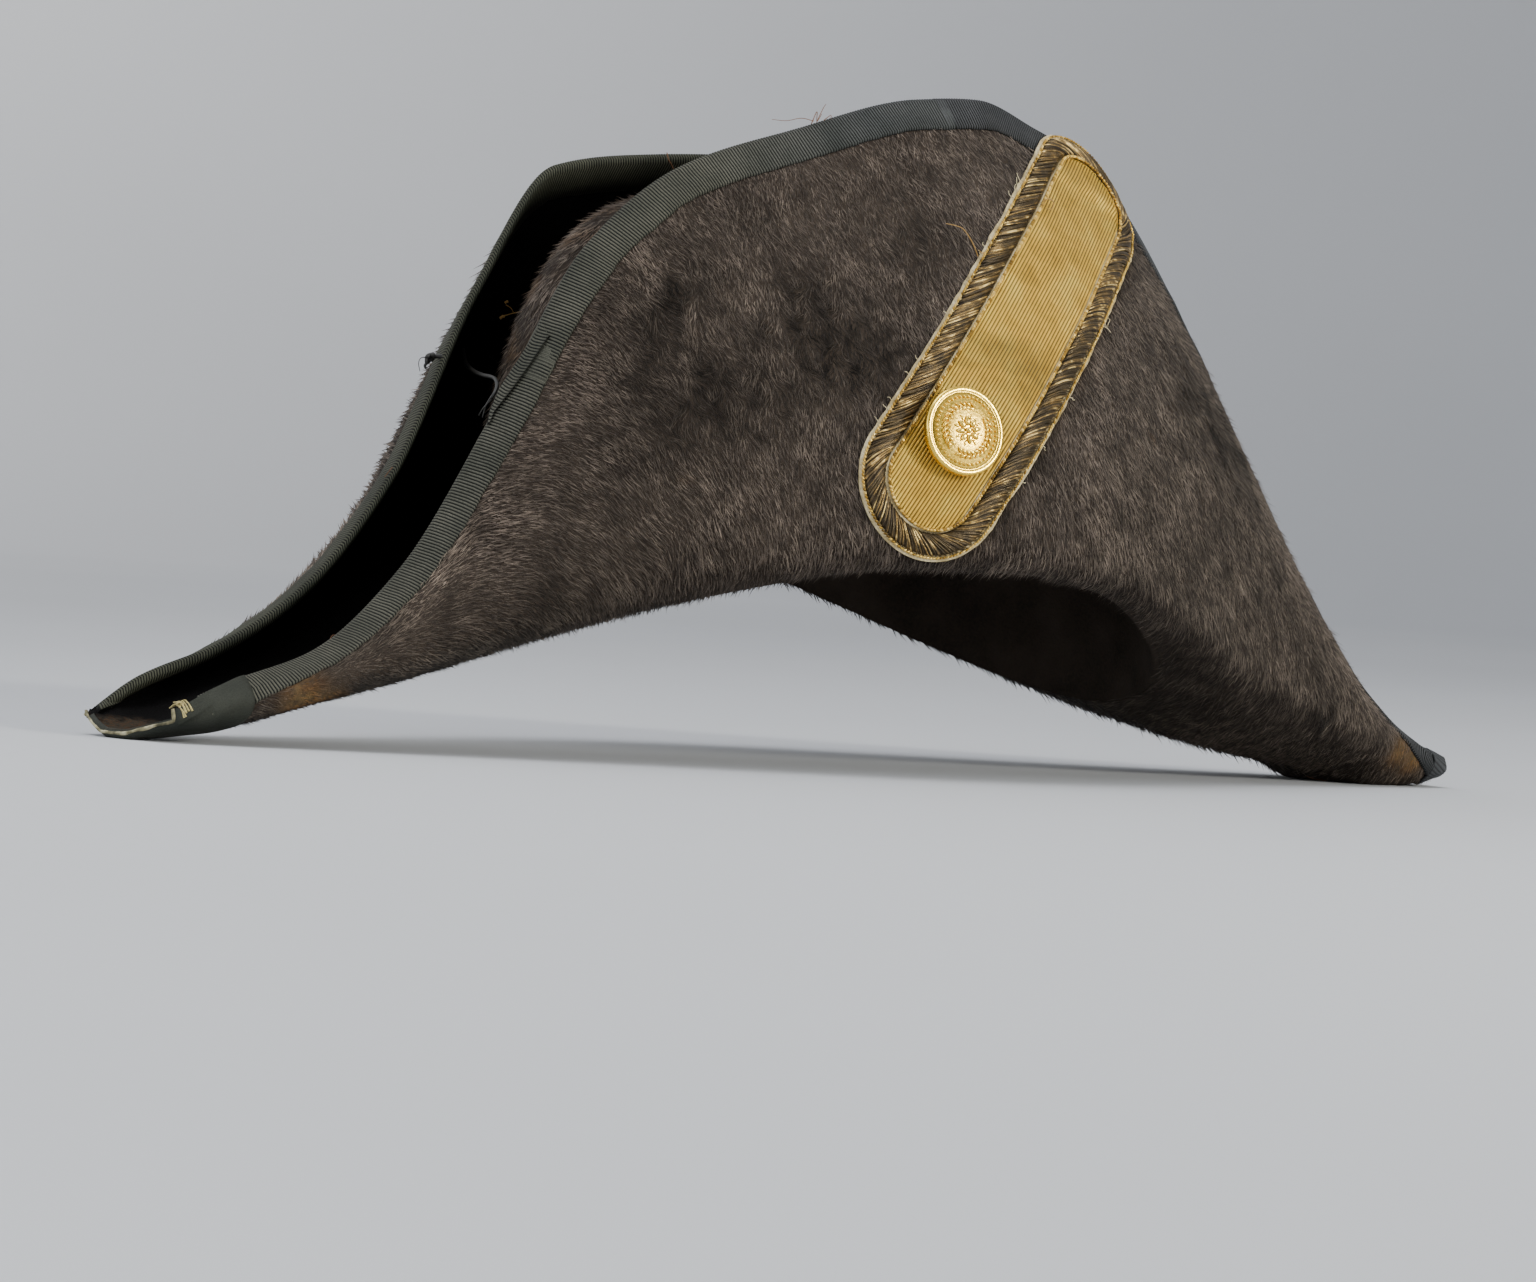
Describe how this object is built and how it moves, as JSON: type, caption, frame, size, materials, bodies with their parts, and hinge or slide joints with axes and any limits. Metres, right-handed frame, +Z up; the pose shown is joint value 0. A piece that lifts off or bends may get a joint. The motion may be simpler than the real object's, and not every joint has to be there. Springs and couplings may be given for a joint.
{
  "type": "bicorne hat",
  "caption": "Fore-and-aft cocked hat of dark napped felt: domed crown, brim turned up in two tall sides, ribbon edging, gold lace strap and a gilt button.",
  "frame": {"origin": "on the ground, under the middle of the hat, which rests on the undersides of its two tips", "axes": "+Z up; the wearer faces -Y, so the front tip points along -Y and the wearer's left, with the strap and button, is +X"},
  "size_m": [0.1775, 0.4396, 0.1766],
  "materials": {
    "felt": "matte",
    "ribbon": "satin",
    "backing": "matte",
    "gold_lace": "satin",
    "bullion": "satin",
    "gold_cord": "satin",
    "gilt": "polished"
  },
  "bodies": {
    "root": {"crown": "felt", "brim": "felt", "edge_binding": "ribbon", "front_tip_binding": "ribbon", "strap_backing": "backing", "lace_panel": "gold_lace", "inner_cord": "gold_cord", "bullion_border": "bullion", "outer_cord": "gold_cord", "button": "gilt"}
  },
  "joints": []
}
